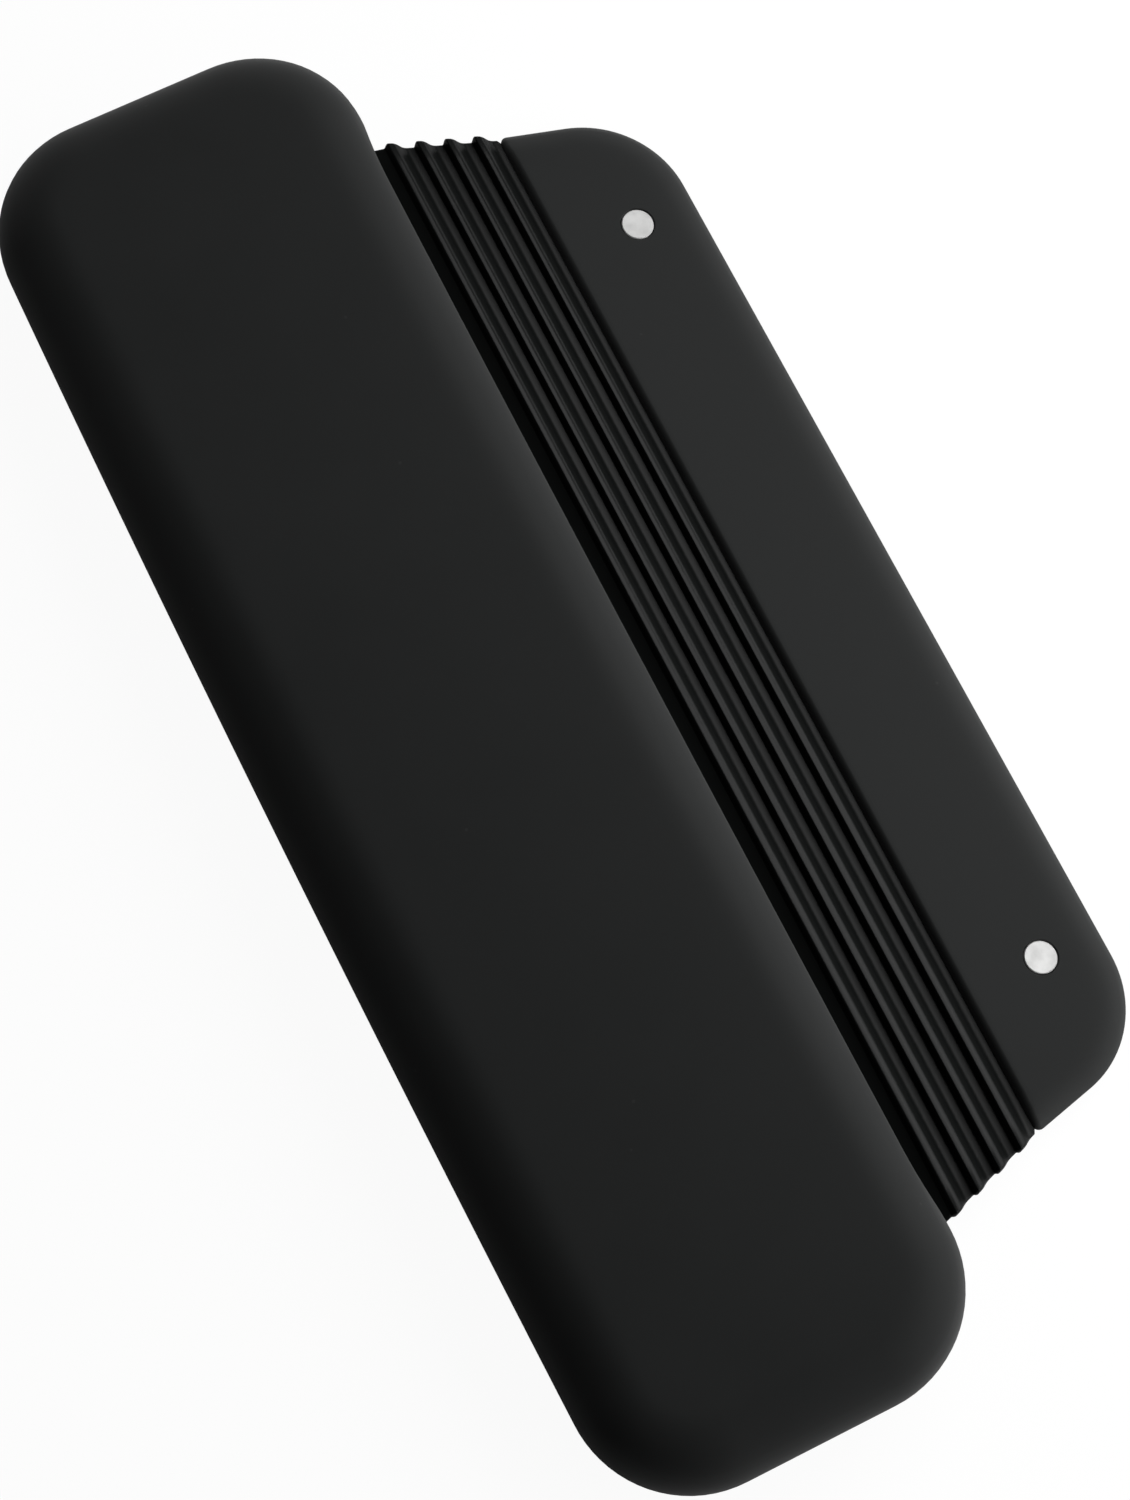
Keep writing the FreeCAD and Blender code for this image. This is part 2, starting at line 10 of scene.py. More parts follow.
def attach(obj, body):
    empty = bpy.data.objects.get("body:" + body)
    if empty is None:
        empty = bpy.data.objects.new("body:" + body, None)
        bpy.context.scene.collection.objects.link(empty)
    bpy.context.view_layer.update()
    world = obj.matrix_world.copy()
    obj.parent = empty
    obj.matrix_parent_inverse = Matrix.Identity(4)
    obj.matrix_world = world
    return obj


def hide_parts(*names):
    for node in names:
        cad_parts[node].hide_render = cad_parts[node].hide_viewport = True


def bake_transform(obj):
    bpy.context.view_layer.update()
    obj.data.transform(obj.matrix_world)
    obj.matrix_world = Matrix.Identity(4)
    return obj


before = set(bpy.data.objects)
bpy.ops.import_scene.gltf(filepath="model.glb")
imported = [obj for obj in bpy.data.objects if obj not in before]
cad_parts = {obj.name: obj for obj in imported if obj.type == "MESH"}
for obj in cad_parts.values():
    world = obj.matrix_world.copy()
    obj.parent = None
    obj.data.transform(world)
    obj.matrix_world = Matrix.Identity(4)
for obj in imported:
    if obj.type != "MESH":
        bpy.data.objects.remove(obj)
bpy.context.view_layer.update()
mm = 0.001
scene = bpy.context.scene
scene.view_settings.view_transform = "Standard"
print("frame loaded with", len(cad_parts), "solids")


# camera, fitted to the photo's outline

cameraFit = {
    "place": (-71.93, -143.46, 545.54),
    "right": (0.8935, -0.4479, 0.0312),
    "down": (-0.4216, -0.8608, -0.2852),
    "focalPixels": 3447.0,
    "imageHeight": 1500.0,
}


def placeCamera(fit):
    data = bpy.data.cameras.new("photoCamera")
    data.sensor_fit = "VERTICAL"
    data.sensor_height = 36.0
    data.lens = fit["focalPixels"] * data.sensor_height / fit["imageHeight"]
    data.clip_start = 0.01
    data.clip_end = 30.0
    right = Vector(fit["right"]).normalized()
    up = -Vector(fit["down"])
    up = (up - right * up.dot(right)).normalized()
    back = right.cross(up)
    turn = Matrix((right, up, back)).transposed().to_4x4()
    camera = bpy.data.objects.new("photoCamera", data)
    camera.matrix_world = Matrix.Translation(Vector(fit["place"]) * mm) @ turn
    scene.collection.objects.link(camera)
    scene.camera = camera


placeCamera(cameraFit)
print("camera placed")


# node helpers

def addNode(tree, kind, **settings):
    node = tree.nodes.new(kind)
    for key, value in settings.items():
        setattr(node, key, value)
    return node


def feed(tree, socket, value):
    if isinstance(value, bpy.types.NodeSocket):
        tree.links.new(value, socket)
    else:
        socket.default_value = value


def calc(tree, operation, *values, clamp=False):
    node = addNode(tree, "ShaderNodeMath", operation=operation, use_clamp=clamp)
    for socket, value in zip(node.inputs, values):
        feed(tree, socket, value)
    return node.outputs[0]


def rampTo(tree, value, fromMin, fromMax, toMin, toMax, smooth=False):
    node = addNode(tree, "ShaderNodeMapRange")
    if smooth:
        node.interpolation_type = "SMOOTHSTEP"
    for name, given in (("Value", value), ("From Min", fromMin), ("From Max", fromMax),
                        ("To Min", toMin), ("To Max", toMax)):
        feed(tree, node.inputs[name], given)
    return node.outputs["Result"]


def blendColour(tree, factor, first, second):
    node = addNode(tree, "ShaderNodeMix", data_type="RGBA")
    feed(tree, node.inputs[0], factor)
    feed(tree, node.inputs[6], first)
    feed(tree, node.inputs[7], second)
    return node.outputs[2]


# shared effect: the fine grain and soft clouding of a moulded or plated skin

def buildSkinGrain():
    tree = bpy.data.node_groups.new("skinGrain", "ShaderNodeTree")
    face = tree.interface
    face.new_socket(name="Vector", in_out="INPUT", socket_type="NodeSocketVector")
    for name, start in (("Grain Scale", 2600.0), ("Cloud Scale", 45.0), ("Speck Scale", 260.0)):
        face.new_socket(name=name, in_out="INPUT", socket_type="NodeSocketFloat").default_value = start
    for name in ("Height", "Cloud", "Speck"):
        face.new_socket(name=name, in_out="OUTPUT", socket_type="NodeSocketFloat")
    given = addNode(tree, "NodeGroupInput")
    made = addNode(tree, "NodeGroupOutput")
    grain = addNode(tree, "ShaderNodeTexNoise")
    cloud = addNode(tree, "ShaderNodeTexNoise")
    speck = addNode(tree, "ShaderNodeTexVoronoi", feature="F1")
    for node, scale in ((grain, "Grain Scale"), (cloud, "Cloud Scale"), (speck, "Speck Scale")):
        tree.links.new(given.outputs["Vector"], node.inputs["Vector"])
        tree.links.new(given.outputs[scale], node.inputs["Scale"])
    grain.inputs["Detail"].default_value = 3.0
    cloud.inputs["Detail"].default_value = 4.0
    cloud.inputs["Roughness"].default_value = 0.6
    keep = calc(tree, "GREATER_THAN", speck.outputs["Color"], 0.86)  # only a few cells hold a speck
    spot = rampTo(tree, speck.outputs["Distance"], 0.05, 0.11, 1.0, 0.0, smooth=True)
    tree.links.new(grain.outputs["Fac"], made.inputs["Height"])
    tree.links.new(cloud.outputs["Fac"], made.inputs["Cloud"])
    tree.links.new(calc(tree, "MULTIPLY", keep, spot), made.inputs["Speck"])
    return tree


skinGrain = buildSkinGrain()


# black silicone

siliconeLook = {
    "dark": (0.0168, 0.0180, 0.0179, 1.0),
    "light": (0.0192, 0.0204, 0.0203, 1.0),
    # painted highlight: a lighter tone laid where light catches the lip, the rib crests and the flap's rims
    "rimLightTone": (0.0410, 0.0422, 0.0420, 1.0),
    "dust": (0.06, 0.06, 0.06, 1.0),
    "roughLow": 0.57,
    "roughHigh": 0.63,
    "specular": 0.08,
    "sheen": 0.2,
    "sheenRough": 0.5,
    "grainDepth": 0.012,
    "grainStrength": 0.35,
    "grainScale": 2600.0,
    "cloudScale": 38.0,
    "speckScale": 300.0,
    "rimLightShare": 0.7,
    "rimLightPolish": 0.08,      # where the highlight is painted on the edges, the skin is also a little smoother
    "dustShare": 0.25,
}
# painted shade: a darker copy of the same silicone for the fold strip, which lies in the crease's shade; it is
# also glossier
shadedStripLook = {
    **siliconeLook,
    "dark": (0.0046, 0.0052, 0.0050, 1.0),
    "light": (0.0056, 0.0062, 0.0060, 1.0),
    # painted highlight: the lighter tone on the rib crests
    "rimLightTone": (0.0075, 0.0081, 0.0079, 1.0),
    "dust": (0.02, 0.02, 0.02, 1.0),
    "roughLow": 0.31,
    "roughHigh": 0.35,
    "specular": 0.14,
    "sheen": 0.02,
    "grainDepth": 0.008,
}


def startMaterial(name, look):
    # a material with the skin's grain already on its normal
    material = bpy.data.materials.new(name)
    material.use_nodes = True
    tree = material.node_tree
    shader = tree.nodes["Principled BSDF"]
    place = addNode(tree, "ShaderNodeTexCoord")
    skin = addNode(tree, "ShaderNodeGroup")
    skin.node_tree = skinGrain
    skin.inputs["Grain Scale"].default_value = look["grainScale"]
    skin.inputs["Cloud Scale"].default_value = look["cloudScale"]
    skin.inputs["Speck Scale"].default_value = look["speckScale"]
    tree.links.new(place.outputs["Object"], skin.inputs["Vector"])
    bump = addNode(tree, "ShaderNodeBump")
    bump.inputs["Strength"].default_value = look["grainStrength"]
    bump.inputs["Distance"].default_value = look["grainDepth"] * mm
    tree.links.new(skin.outputs["Height"], bump.inputs["Height"])
    tree.links.new(bump.outputs["Normal"], shader.inputs["Normal"])
    return material, tree, shader, skin


def makeSilicone(name, look):
    material, tree, shader, skin = startMaterial(name, look)
    # how much painted highlight an edge or crest carries: a lighter tone standing in for light caught there
    paintedRimLight = addNode(tree, "ShaderNodeAttribute", attribute_name="paintedRimLight").outputs["Fac"]
    cloud = rampTo(tree, skin.outputs["Cloud"], 0.3, 0.7, 0.0, 1.0)
    tone = blendColour(tree, cloud, look["dark"], look["light"])
    # painted highlight: the mask mixes in the lighter tone
    tone = blendColour(tree, calc(tree, "MULTIPLY", paintedRimLight, look["rimLightShare"]), tone, look["rimLightTone"])
    dust = calc(tree, "MULTIPLY", skin.outputs["Speck"], look["dustShare"])
    tone = blendColour(tree, dust, tone, look["dust"])
    rough = rampTo(tree, skin.outputs["Cloud"], 0.3, 0.7, look["roughLow"], look["roughHigh"])
    rough = calc(tree, "SUBTRACT", rough, calc(tree, "MULTIPLY", paintedRimLight, look["rimLightPolish"]))
    tree.links.new(tone, shader.inputs["Base Color"])
    tree.links.new(rough, shader.inputs["Roughness"])
    shader.inputs["Specular IOR Level"].default_value = look["specular"]
    shader.inputs["Sheen Weight"].default_value = look["sheen"]
    shader.inputs["Sheen Roughness"].default_value = look["sheenRough"]
    return material


# bare nickel plate of the magnets

nickelLook = {
    "bright": (0.67, 0.67, 0.665, 1.0),
    "dull": (0.61, 0.61, 0.605, 1.0),
    "tarnish": (0.4, 0.39, 0.38, 1.0),
    "tarnishShare": 0.3,
    "roughLow": 0.62,
    "roughHigh": 0.72,
    "grainDepth": 0.004,
    "grainStrength": 0.3,
    "grainScale": 5200.0,
    "cloudScale": 420.0,
    "speckScale": 900.0,
}


def makeNickel(look):
    material, tree, shader, skin = startMaterial("nickelPlate", look)
    cloud = rampTo(tree, skin.outputs["Cloud"], 0.35, 0.7, 0.0, 1.0)
    tone = blendColour(tree, cloud, look["bright"], look["dull"])
    spots = calc(tree, "MULTIPLY", skin.outputs["Speck"], look["tarnishShare"])
    tone = blendColour(tree, spots, tone, look["tarnish"])
    rough = rampTo(tree, skin.outputs["Cloud"], 0.3, 0.7, look["roughLow"], look["roughHigh"])
    tree.links.new(tone, shader.inputs["Base Color"])
    tree.links.new(rough, shader.inputs["Roughness"])
    shader.inputs["Metallic"].default_value = 1.0
    return material


blackSilicone = makeSilicone("blackSilicone", siliconeLook)
shadedStripSilicone = makeSilicone("shadedStripSilicone", shadedStripLook)  # the fold strip: a darker copy of the silicone as painted shade in the crease between pocket and flap, and also glossier
nickelPlate = makeNickel(nickelLook)
print("materials made")


# mesh helpers, all in millimetres until the piece is made

def roundedLoop(corners, radii, stops, arcSteps):
    # closed plan loop, anticlockwise, with outward normals
    # stops are places on each straight run from its middle, or how many even parts it has
    points, normals = [], []
    count = len(corners)
    corners = [np.array(c, float) for c in corners]
    ends = []
    for i in range(count):
        here = corners[i]
        back = corners[i - 1] - here
        ahead = corners[(i + 1) % count] - here
        back /= np.linalg.norm(back)
        ahead /= np.linalg.norm(ahead)
        half = math.acos(np.clip(back @ ahead, -1, 1)) / 2
        reach = radii[i] / math.tan(half)
        centre = here + (back + ahead) / np.linalg.norm(back + ahead) * radii[i] / math.sin(half)
        ends.append((here + back * reach, here + ahead * reach, centre))
    for i in range(count):
        first, last, centre = ends[i]
        a = math.atan2(*(first - centre)[::-1])
        b = math.atan2(*(last - centre)[::-1])
        b += 2 * math.pi if b < a else 0
        for k in range(arcSteps[i] + 1):
            turn = a + (b - a) * k / arcSteps[i]
            out = np.array((math.cos(turn), math.sin(turn)))
            points.append(centre + radii[i] * out)
            normals.append(out)
        start, stop = last, ends[(i + 1) % count][0]
        along = (stop - start) / np.linalg.norm(stop - start)
        middle = (start + stop) / 2
        places = stops[i]
        if isinstance(places, int):
            half = np.linalg.norm(stop - start) / 2
            places = np.linspace(-half, half, places + 1)[1:-1]
        for place in places:
            points.append(middle + along * place)
            normals.append(np.array((along[1], -along[0])))
    return np.array(points), np.array(normals)


def insideLoop(points, loop):
    # even-odd test of many points against one loop
    x, y = points[:, 0], points[:, 1]
    inside = np.zeros(len(points), bool)
    for (ax, ay), (bx, by) in zip(loop, np.roll(loop, -1, axis=0)):
        crosses = (ay > y) != (by > y)
        with np.errstate(divide="ignore", invalid="ignore"):
            at = (bx - ax) * (y - ay) / (by - ay) + ax
        inside ^= crosses & (x < at)
    return inside


def loopDistance(points, loop):
    best = np.full(len(points), 1e9)
    for a, b in zip(loop, np.roll(loop, -1, axis=0)):
        run = b - a
        t = np.clip((points - a) @ run / max(run @ run, 1e-12), 0, 1)
        best = np.minimum(best, np.linalg.norm(points - (a + t[:, None] * run), axis=1))
    return best


def fillLoop(loop, spacing, holes=(), holeSteps=48):
    # triangles inside a loop with even points between, and round holes left open
    points = [tuple(p) for p in loop]
    edges = [(i, (i + 1) % len(points)) for i in range(len(points))]
    rings = []
    for cx, cy, radius in holes:
        start = len(points)
        for k in range(holeSteps):
            turn = 2 * math.pi * k / holeSteps
            points.append((cx + radius * math.cos(turn), cy + radius * math.sin(turn)))
        edges += [(start + k, start + (k + 1) % holeSteps) for k in range(holeSteps)]
        rings.append(list(range(start, start + holeSteps)))
    low, high = loop.min(axis=0), loop.max(axis=0)
    xs = np.arange(low[0] + spacing / 2, high[0], spacing)
    ys = np.arange(low[1] + spacing / 2, high[1], spacing)
    grid = np.array([(x, y) for x in xs for y in ys])
    grid = grid[insideLoop(grid, loop)]
    grid = grid[loopDistance(grid, loop) > 0.45 * spacing]
    for cx, cy, radius in holes:
        away = np.hypot(grid[:, 0] - cx, grid[:, 1] - cy)
        grid = grid[away > radius + 0.3 * spacing]
    points += [tuple(p) for p in grid]
    out = delaunay_2d_cdt([Vector(p) for p in points], edges, [], 1, 1e-7)
    origin = [source[0] for source in out[3]]
    triangles = []
    for face in out[2]:
        ids = [origin[i] for i in face]
        if any(set(ids) <= set(ring) for ring in rings):  # it would close a hole
            continue
        (ax, ay), (bx, by), (dx, dy) = [points[i] for i in ids]
        if (bx - ax) * (dy - ay) - (by - ay) * (dx - ax) < 0:
            ids.reverse()
        triangles.append(ids)
    return np.array(points), triangles, rings


class MeshParts:
    # collects points and faces of one closed piece
    def __init__(self):
        self.points = []
        self.faces = []

    def add(self, points):
        first = len(self.points)
        self.points.extend(np.asarray(points, float).tolist())
        return np.arange(first, len(self.points))

    def bridge(self, first, second, closed=True, flip=False):
        # quads between two rows of equal length
        count = len(first)
        for k in range(count if closed else count - 1):
            n = (k + 1) % count
            quad = [first[k], second[k], second[n], first[n]]
            self.faces.append([int(i) for i in (reversed(quad) if flip else quad)])

    def patch(self, ids, triangles, flip=False):
        for face in triangles:
            face = [int(ids[i]) for i in face]
            self.faces.append(face[::-1] if flip else face)

    def fan(self, ring, centre, flip=False):
        for k in range(len(ring)):
            face = [int(centre), int(ring[k]), int(ring[(k + 1) % len(ring)])]
            self.faces.append(face[::-1] if flip else face)


def makePiece(name, parts, paintedRimLight, material, sharp=40):
    mesh = bpy.data.meshes.new(name)
    mesh.from_pydata((np.array(parts.points) * mm).tolist(), [], parts.faces)
    mesh.validate()
    layer = mesh.attributes.new("paintedRimLight", "FLOAT", "POINT")
    layer.data.foreach_set("value", np.asarray(paintedRimLight, np.float32))
    smoothPiece(mesh, sharp)
    mesh.materials.append(material)
    piece = bpy.data.objects.new(name, mesh)
    scene.collection.objects.link(piece)
    return piece


def smoothPiece(mesh, sharp):
    mesh.polygons.foreach_set("use_smooth", np.ones(len(mesh.polygons), bool))
    mesh.set_sharp_from_angle(angle=math.radians(sharp))


# pocket: one soft pillow with its mouth along the +X side

pocketSizes = {
    "length": 250.0,
    "width": 65.4,
    "thickness": 24.0,
    "wall": 2.2,
    "sideFlat": 1.2,
    "cornerRadius": 19.8,
    "lipAngle": 34.5,       # where the front wall ends, up round the side
    "lipSquare": 0.4,       # the front wall's rounding is a little squarer along the mouth
    "sillAngle": 25.5,      # where the back wall ends, down round the side
    "sillInnerAngle": 31.5,
    "lipCollar": 0.12,      # last bit of skin before the lip turns in
    "lipBulge": 0.4,
    "sillBulge": 0.12,
    "mouthHalf": 104.2,
    "lipCorner": (13.0, 4.6),   # along and up
    "lipCornerStops": (0.0, 3.0, 5.8, 8.3, 10.6),
    "sillCorner": (3.0, 3.0),
    "sideBow": 1.0,
    "lipBow": 0.4,
    "lipBowFrom": 9.0,      # height where the lip's bow begins, and over which it grows
    "lipBowRise": 6.0,
    "crown": 0.2,
    "fillSpacing": 3.6,
    "magnetX": 17.93,
    "magnetY": 72.0,
    "recessRadius": 2.86,
    "recessDepth": 1.5,
}


def makePocket(s):
    halfWidth, halfLength = s["width"] / 2, s["length"] / 2
    radius = (s["thickness"] - s["sideFlat"]) / 2
    inner = radius - s["wall"]
    upper, lower = s["thickness"] - radius, radius  # heights of the rounding's centres
    centreX = halfWidth - radius

    # plan columns: extra ones at the mouth's corners
    edge = s["mouthHalf"]
    near = edge - s["lipCorner"][0]
    ends = [near + v for v in s["lipCornerStops"]] + [edge]
    cornerColumns, cornerRows = len(ends) - 1, 3
    between = np.linspace(-near, near, 63)[1:-1]
    mouthStops = [-v for v in reversed(ends)] + list(between) + ends
    corners = [(halfWidth, -halfLength), (halfWidth, halfLength),
               (-halfWidth, halfLength), (-halfWidth, -halfLength)]
    plan, normals = roundedLoop(corners, [s["cornerRadius"]] * 4, [mouthStops, 9, 72, 9], [18] * 4)
    columns = len(plan)
    onMouth = np.array([abs(n[0] - 1) < 1e-9 for n in normals])
    columnAt = {round(plan[c][1], 4): c for c in range(columns) if onMouth[c]}
    firstColumn, lastColumn = columnAt[round(-edge, 4)], columnAt[round(edge, 4)]
    middleColumn = columnAt[round(between[len(between) // 2], 4)]

    # rows, as angles: front face rim, down round the side, to the back face rim
    frontOuter = [90, 84, 78, 72, 66, 60, 54, 48, 44, 40, 37, s["lipAngle"], 28, 21, 14, 7, 0]
    backOuter = [0, 5, 9.5, 15, 20.5, s["sillAngle"], 29, 33, 38, 44, 50, 56, 62, 68, 74, 80, 85, 90]
    backInner = [0, 6, 11.5, 18, 25, s["sillInnerAngle"], 35, 39, 44, 49, 54, 59, 64, 69, 75, 80.5, 85.5, 90]
    lipRow = frontOuter.index(s["lipAngle"])
    sillRow = len(frontOuter) + backOuter.index(s["sillAngle"])
    squareness = 2 + s["lipSquare"] * np.clip(normals[:, 0], 0, 1) ** 2

    def skinRows(curve, inset, back):
        rows = []
        for angle in frontOuter:
            a = math.radians(angle)
            d = inset + curve * (1 - abs(math.cos(a)) ** (2 / squareness))
            height = upper + curve * math.sin(a) ** (2 / squareness)
            rows.append(np.column_stack((plan - normals * d[:, None], height)))
        for angle in back:
            a = math.radians(angle)
            d = inset + curve * (1 - math.cos(a))
            rows.append(np.column_stack((plan - normals * d, np.full(columns, lower - curve * math.sin(a)))))
        return rows

    outerRows = skinRows(radius, 0.0, backOuter)
    innerRows = skinRows(inner, s["wall"], backInner)

    def sideRounding(z):
        # height of the rounding's centre there, and its squareness
        return (upper, 2 + s["lipSquare"]) if z > upper else (min(z, lower), 2)

    def sideX(curve, z):
        level, n = sideRounding(z)
        return centreX + curve * max(1 - (abs(z - level) / curve) ** n, 0) ** (1 / n)

    def sideSlope(z):
        level, n = sideRounding(z)
        high = abs(z - level) / radius
        wide = max(1 - high ** n, 1e-6) ** (1 / n)
        return math.copysign((high / wide) ** (n - 1), level - z)

    # rim of the mouth: (row, column, how far round its corner, which end, top or bottom)
    rim = []

    def alongMouth(row, columnOrder, side):
        for c in columnOrder:
            fromStart, fromEnd = c - firstColumn, lastColumn - c
            angle = 45 + 45 * min(fromStart, fromEnd, cornerColumns) / cornerColumns
            rim.append((row, c, angle, -1 if fromStart < fromEnd else 1, side))

    def acrossMouth(rowOrder, column, end):
        for r in rowOrder:
            fromLip, fromSill = r - lipRow, sillRow - r
            angle = 45 - 45 * min(fromLip, fromSill, cornerRows) / cornerRows
            rim.append((r, column, angle, end, 1 if fromLip < fromSill else -1))

    mouthColumns = range(firstColumn, lastColumn + 1)
    mouthRows = range(lipRow + 1, sillRow)
    alongMouth(lipRow, mouthColumns, 1)
    acrossMouth(mouthRows, lastColumn, 1)
    alongMouth(sillRow, reversed(mouthColumns), -1)
    acrossMouth(reversed(mouthRows), firstColumn, -1)

    leans, bulges = [], []  # which way the lip swells, and how far
    for row, column, angle, end, side in rim:
        a = math.radians(angle)
        cornerY, cornerZ = s["lipCorner"] if side > 0 else s["sillCorner"]
        for rows, curve in ((outerRows, radius), (innerRows, inner)):
            edgeZ = rows[lipRow if side > 0 else sillRow][middleColumn][2]
            y, z = rows[row][column][1], rows[row][column][2]
            if row in (lipRow, sillRow) and angle < 90 or column in (firstColumn, lastColumn) and angle > 0:
                y = end * (edge - cornerY * (1 - math.cos(a)))
                z = edgeZ - side * cornerZ * (1 - math.sin(a))
            rows[row][column] = (sideX(curve, z), y, z)
        z = outerRows[row][column][2]
        lean = np.array((-side * math.sin(a) * sideSlope(z), -end * math.cos(a), -side * math.sin(a)))
        lean *= (1, cornerZ, cornerY) if 0 < angle < 90 else (1, 1, 1)
        lean[0] = lean[2] * sideSlope(z)
        leans.append(lean / np.linalg.norm(lean))
        low = s["sillBulge"] if side < 0 else s["lipBulge"]
        bulges.append(s["lipBulge"] + (low - s["lipBulge"]) * math.sin(a) ** 2)
    leans, bulges = np.array(leans), np.array(bulges)

    parts = MeshParts()
    outerIds = np.array([parts.add(row) for row in outerRows])
    innerIds = np.array([parts.add(row) for row in innerRows])
    for r in range(len(outerRows) - 1):
        inMouth = lipRow <= r < sillRow
        for ids, flip in ((outerIds, False), (innerIds, True)):
            if not inMouth:
                parts.bridge(ids[r], ids[r + 1], flip=flip)
                continue
            order = list(range(lastColumn, columns)) + list(range(firstColumn + 1))
            parts.bridge(ids[r][order], ids[r + 1][order], closed=False, flip=flip)

    # soft round lip from the outer skin to the inner one
    outerRim = np.array([outerIds[row][column] for row, column, *_ in rim])
    innerRim = np.array([innerIds[row][column] for row, column, *_ in rim])
    pointList = np.array(parts.points)
    middle = (pointList[outerRim] + pointList[innerRim]) / 2
    half = (pointList[outerRim] - pointList[innerRim]) / 2
    lastRing = outerRim
    lipRings = []
    for j in range(9):
        turn = math.pi * j / 8
        swell = s["lipCollar"] + bulges * math.sin(turn)
        ring = parts.add(middle + half * math.cos(turn) + leans * swell[:, None])
        parts.bridge(lastRing, ring)
        lipRings.append(ring)
        lastRing = ring
    parts.bridge(lastRing, innerRim)

    # flat middles of the front and the back, with the hidden magnets' recesses inside the front wall
    holes = [(s["magnetX"], side * s["magnetY"], s["recessRadius"]) for side in (1, -1)]
    frontLevel, innerLevel = s["thickness"], s["thickness"] - s["wall"]
    middles = [(outerIds[0], frontLevel, False, ()), (innerIds[0], innerLevel, True, holes),
               (outerIds[-1], 0.0, True, ()), (innerIds[-1], s["wall"], False, ())]
    for ids, level, flip, cut in middles:
        loop = np.array(parts.points)[ids][:, :2]
        points, triangles, rings = fillLoop(loop, s["fillSpacing"], cut)
        added = parts.add(np.column_stack((points[columns:], np.full(len(points) - columns, level))))
        every = np.concatenate((ids, added))
        parts.patch(every, triangles, flip)
        for ring, (cx, cy, _) in zip(rings, cut):
            low = every[ring]
            high = parts.add(np.array(parts.points)[low] + (0, 0, s["recessDepth"]))
            parts.bridge(low, high, flip=True)
            parts.fan(high, parts.add([(cx, cy, level + s["recessDepth"])])[0], flip=True)

    # the soft walls bow a little between the ends, and the front is slightly crowned
    p = np.array(parts.points)
    x, y, z = p[:, 0].copy(), p[:, 1].copy(), p[:, 2].copy()
    along = np.clip(1 - (y / (halfLength - s["cornerRadius"])) ** 2, 0, 1)
    p[:, 0] -= s["sideBow"] * along * np.clip(-x / halfWidth, 0, 1) ** 2
    atLip = np.clip((z - s["lipBowFrom"]) / s["lipBowRise"], 0, 1)
    p[:, 0] -= s["lipBow"] * along * np.clip(x / halfWidth, 0, 1) ** 4 * atLip
    isFront = z > innerLevel + 1.6
    isFront[innerIds.ravel()] = False
    rise = np.clip(1 - (x / halfWidth) ** 2, 0, 1) * np.clip(1 - (y / halfLength) ** 2, 0, 1)
    p[:, 2] += s["crown"] * rise * isFront
    parts.points = p.tolist()

    # painted highlight along the mouth's lip: its first rings and its outer rim take the lighter tone
    paintedRimLight = np.zeros(len(p))
    paintedRimLight[np.concatenate(lipRings[:3])] = 1.0
    paintedRimLight[outerRim] = 0.6
    return makePiece("pocketShell", parts, paintedRimLight, blackSilicone)


pocketShell = makePocket(pocketSizes)
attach(pocketShell, "pocket")
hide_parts("back_shell", "front_shell")
print("pocket made,", len(pocketShell.data.polygons), "faces")


# fold strip: a thin web with four ribs, one piece for each fold, parted just past the crests

stripSizes = {
    "Root X": 33.0,
    "Root Z": 6.1,
    "Droop": math.radians(6.5),
    "Root Half Length": 103.6,
    "End Taper": 7.0 / 22.3,
    "Underside": -0.6,
    "Web Top": 0.1,
    "Rib Height": 1.75,
    "Root Flank": 0.9,      # run of the first rib's flank, up from the mouth
    "Near Flank": 0.6,      # and of the other flanks that face the pocket
    "Far Flank": 3.6,
    "Rib Steepness": 0.7,
    "Root Slope": 0.4,
    "Slope From": 0.3,
    "Slope Level": 1.1,     # where the sloping root is level with the web
    "Sill From": 0.7,
    "Sill Run": 1.2,
    "Sill Rise": 0.75,
    "Rib Pitch": 4.81,
    "First Crest": 3.2,
    "Last Rib": 3.0,
    "Tail From": 21.4,      # beyond it the web runs on inside the panel
    "Tail Lift": 0.3,
    "Tail Draw": 1.6,
    "End Bump": 0.42,
    "End Radius": 0.5,
    "Root Fillet": 1.0,
    "Fillet From": -0.3,
    "Fillet Run": 1.3,
}
stripSteps = {"Steps Across": 56, "Steps Along": 61}


